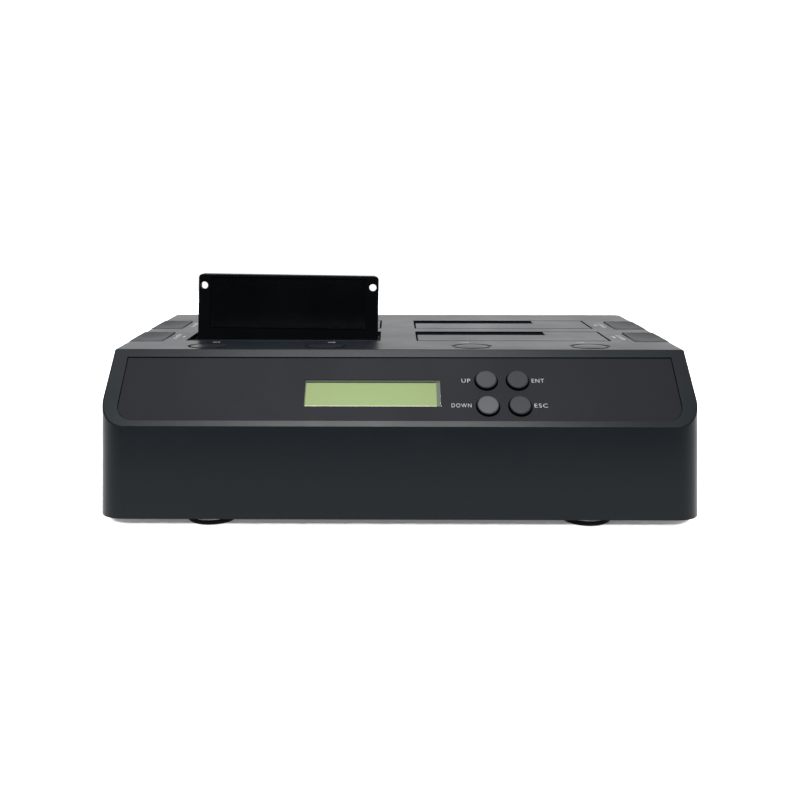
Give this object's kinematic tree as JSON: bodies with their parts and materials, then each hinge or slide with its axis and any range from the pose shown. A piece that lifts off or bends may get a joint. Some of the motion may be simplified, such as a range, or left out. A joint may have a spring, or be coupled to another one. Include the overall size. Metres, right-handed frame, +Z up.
{
  "type": "drive duplicator",
  "caption": "Desktop duplicator dock for bare hard drives: top-loading bays with sprung flaps, eject buttons, a sloped display panel with menu keys and a loose bay adapter.",
  "frame": {"origin": "centre of the footprint, on the plane the feet stand on", "axes": "+X along the width, to the right seen from the front; +Z up; the sloped display faces -Y"},
  "size_m": [0.29, 0.18, 0.1169],
  "materials": {
    "adapter_gloss": "glossy black",
    "adapter_metal": "satin black paint",
    "button_plastic": "satin",
    "circuit_board": "solder mask",
    "component_black": "matt moulded",
    "connector_black": "moulded",
    "eject_plastic": "satin",
    "guide_plastic": "matt moulded",
    "housing_plastic": "fine spark-eroded texture, satin",
    "key_plastic": "satin",
    "lcd_bezel": "satin",
    "lcd_screen": "glossy reflective liquid crystal",
    "lever_plastic": "matt",
    "module_steel": "satin",
    "panel_plastic": "very fine matt",
    "ribbon": "satin",
    "ring_plastic": "semi gloss",
    "rocker_plastic": "satin",
    "rubber": "matt",
    "socket_black": "matt moulded",
    "socket_metal": "nickel plated",
    "spring_steel": "drawn wire",
    "steel": "zinc plated"
  },
  "bodies": {
    "housing": {"bay_guide_front_left": "guide_plastic", "bay_guide_front_right": "guide_plastic", "bay_guide_rear_left": "guide_plastic", "bay_guide_rear_right": "guide_plastic", "board_components": "component_black", "board_screws": "steel", "bottom_cover": "housing_plastic", "button_board": "circuit_board", "case_screws": "steel", "deck_bridge": "housing_plastic", "display_panel": "panel_plastic", "eject_lever_pins": "steel", "eject_spring_front_left": "spring_steel", "eject_spring_front_right": "spring_steel", "eject_spring_rear_left": "spring_steel", "eject_spring_rear_right": "spring_steel", "esata_socket": "socket_metal", "feet": "rubber", "flap_pins": "steel", "flap_springs": "spring_steel", "foot_screws": "steel", "front_board": "circuit_board", "key_switches": "component_black", "lcd_bezel": "lcd_bezel", "lcd_module": "module_steel", "lcd_screen": "lcd_screen", "main_board": "circuit_board", "power_button_rings": "ring_plastic", "power_jack": "socket_black", "power_switches": "component_black", "ribbon_cables": "ribbon", "rocker_housing": "socket_black", "sata_connectors": "connector_black", "top_shell": "housing_plastic", "usb_socket": "socket_metal"},
    "flap_front_left": {"flap_front_left": "housing_plastic"},
    "eject_button_front_left": {"eject_button_front_left": "eject_plastic"},
    "eject_lever_front_left": {"eject_lever_front_left": "lever_plastic"},
    "flap_rear_left": {"flap_rear_left": "housing_plastic"},
    "eject_button_rear_left": {"eject_button_rear_left": "eject_plastic"},
    "eject_lever_rear_left": {"eject_lever_rear_left": "lever_plastic"},
    "flap_front_right": {"flap_front_right": "housing_plastic"},
    "eject_button_front_right": {"eject_button_front_right": "eject_plastic"},
    "eject_lever_front_right": {"eject_lever_front_right": "lever_plastic"},
    "flap_rear_right": {"flap_rear_right": "housing_plastic"},
    "eject_button_rear_right": {"eject_button_rear_right": "eject_plastic"},
    "eject_lever_rear_right": {"eject_lever_rear_right": "lever_plastic"},
    "key_up": {"key_up": "key_plastic"},
    "key_down": {"key_down": "key_plastic"},
    "key_enter": {"key_enter": "key_plastic"},
    "key_escape": {"key_escape": "key_plastic"},
    "power_button_1": {"power_button_1": "button_plastic"},
    "power_button_2": {"power_button_2": "button_plastic"},
    "power_button_3": {"power_button_3": "button_plastic"},
    "power_button_4": {"power_button_4": "button_plastic"},
    "adapter": {"adapter_bracket": "adapter_metal", "adapter_cover": "adapter_gloss", "adapter_board": "circuit_board", "adapter_plug": "connector_black"},
    "power_rocker": {"power_rocker": "rocker_plastic"}
  },
  "joints": [
    {"name": "flap_front_left_hinge", "type": "hinge", "parent": "housing", "child": "flap_front_left", "pos_m": [-0.0623, -0.024, 0.0785], "axis": [-1, 0, 0], "range_deg": [0, 31], "stiffness_Nm_per_rad": 0.004, "springref_deg": -108.86},
    {"name": "flap_rear_left_hinge", "type": "hinge", "parent": "housing", "child": "flap_rear_left", "pos_m": [-0.0623, 0.0256, 0.0785], "axis": [-1, 0, 0], "range_deg": [0, 88], "stiffness_Nm_per_rad": 0.004, "springref_deg": -51.57},
    {"name": "flap_front_right_hinge", "type": "hinge", "parent": "housing", "child": "flap_front_right", "pos_m": [0.0623, -0.024, 0.0785], "axis": [-1, 0, 0], "range_deg": [0, 88], "stiffness_Nm_per_rad": 0.004, "springref_deg": -51.57},
    {"name": "flap_rear_right_hinge", "type": "hinge", "parent": "housing", "child": "flap_rear_right", "pos_m": [0.0623, 0.0256, 0.0785], "axis": [-1, 0, 0], "range_deg": [0, 88], "stiffness_Nm_per_rad": 0.004, "springref_deg": -51.57},
    {"name": "key_up_press", "type": "slide", "parent": "housing", "child": "key_up", "axis": [0, 0.6894, -0.7243], "range_m": [0, 0.0008], "stiffness_N_per_m": 250, "springref_m": -0.003},
    {"name": "key_enter_press", "type": "slide", "parent": "housing", "child": "key_enter", "axis": [0, 0.6894, -0.7243], "range_m": [0, 0.0008], "stiffness_N_per_m": 250, "springref_m": -0.003},
    {"name": "key_down_press", "type": "slide", "parent": "housing", "child": "key_down", "axis": [0, 0.6894, -0.7243], "range_m": [0, 0.0008], "stiffness_N_per_m": 250, "springref_m": -0.003},
    {"name": "key_escape_press", "type": "slide", "parent": "housing", "child": "key_escape", "axis": [0, 0.6894, -0.7243], "range_m": [0, 0.0008], "stiffness_N_per_m": 250, "springref_m": -0.003},
    {"name": "power_button_1_press", "type": "slide", "parent": "housing", "child": "power_button_1", "axis": [0, 0, -1], "range_m": [0, 0.001], "stiffness_N_per_m": 250, "springref_m": -0.003},
    {"name": "power_button_2_press", "type": "slide", "parent": "housing", "child": "power_button_2", "axis": [0, 0, -1], "range_m": [0, 0.001], "stiffness_N_per_m": 250, "springref_m": -0.003},
    {"name": "power_button_3_press", "type": "slide", "parent": "housing", "child": "power_button_3", "axis": [0, 0, -1], "range_m": [0, 0.001], "stiffness_N_per_m": 250, "springref_m": -0.003},
    {"name": "power_button_4_press", "type": "slide", "parent": "housing", "child": "power_button_4", "axis": [0, 0, -1], "range_m": [0, 0.001], "stiffness_N_per_m": 250, "springref_m": -0.003},
    {"name": "eject_button_front_left_press", "type": "slide", "parent": "housing", "child": "eject_button_front_left", "axis": [0, 0, -1], "range_m": [0, 0.005], "stiffness_N_per_m": 80, "springref_m": -0.012, "deforming": ["eject_spring_front_left"]},
    {"name": "eject_button_rear_left_press", "type": "slide", "parent": "housing", "child": "eject_button_rear_left", "axis": [0, 0, -1], "range_m": [0, 0.005], "stiffness_N_per_m": 80, "springref_m": -0.012, "deforming": ["eject_spring_rear_left"]},
    {"name": "eject_button_front_right_press", "type": "slide", "parent": "housing", "child": "eject_button_front_right", "axis": [0, 0, -1], "range_m": [0, 0.005], "stiffness_N_per_m": 80, "springref_m": -0.012, "deforming": ["eject_spring_front_right"]},
    {"name": "eject_button_rear_right_press", "type": "slide", "parent": "housing", "child": "eject_button_rear_right", "axis": [0, 0, -1], "range_m": [0, 0.005], "stiffness_N_per_m": 80, "springref_m": -0.012, "deforming": ["eject_spring_rear_right"]},
    {"name": "eject_lever_front_left_pivot", "type": "hinge", "parent": "housing", "child": "eject_lever_front_left", "pos_m": [-0.1215, -0.0121, 0.0235], "axis": [0, -1, 0], "range_deg": [0, 22]},
    {"name": "eject_lever_rear_left_pivot", "type": "hinge", "parent": "housing", "child": "eject_lever_rear_left", "pos_m": [-0.1215, 0.0374, 0.0235], "axis": [0, -1, 0], "range_deg": [0, 22]},
    {"name": "eject_lever_front_right_pivot", "type": "hinge", "parent": "housing", "child": "eject_lever_front_right", "pos_m": [0.1215, -0.0121, 0.0235], "axis": [0, 1, 0], "range_deg": [0, 22]},
    {"name": "eject_lever_rear_right_pivot", "type": "hinge", "parent": "housing", "child": "eject_lever_rear_right", "pos_m": [0.1215, 0.0374, 0.0235], "axis": [0, 1, 0], "range_deg": [0, 22]},
    {"name": "adapter_lift", "type": "slide", "parent": "housing", "child": "adapter", "axis": [0, 0, 1], "range_m": [0, 0.095]},
    {"name": "power_rocker_tilt", "type": "hinge", "parent": "housing", "child": "power_rocker", "pos_m": [0.0817, 0.084, 0.0366], "axis": [1, 0, 0], "range_deg": [0, 18]}
  ],
  "couplings": [
    {"joint": "eject_lever_front_left_pivot", "follows": "eject_button_front_left_press", "rad_per_m": 76},
    {"joint": "eject_lever_rear_left_pivot", "follows": "eject_button_rear_left_press", "rad_per_m": 76},
    {"joint": "eject_lever_front_right_pivot", "follows": "eject_button_front_right_press", "rad_per_m": 76},
    {"joint": "eject_lever_rear_right_pivot", "follows": "eject_button_rear_right_press", "rad_per_m": 76}
  ]
}
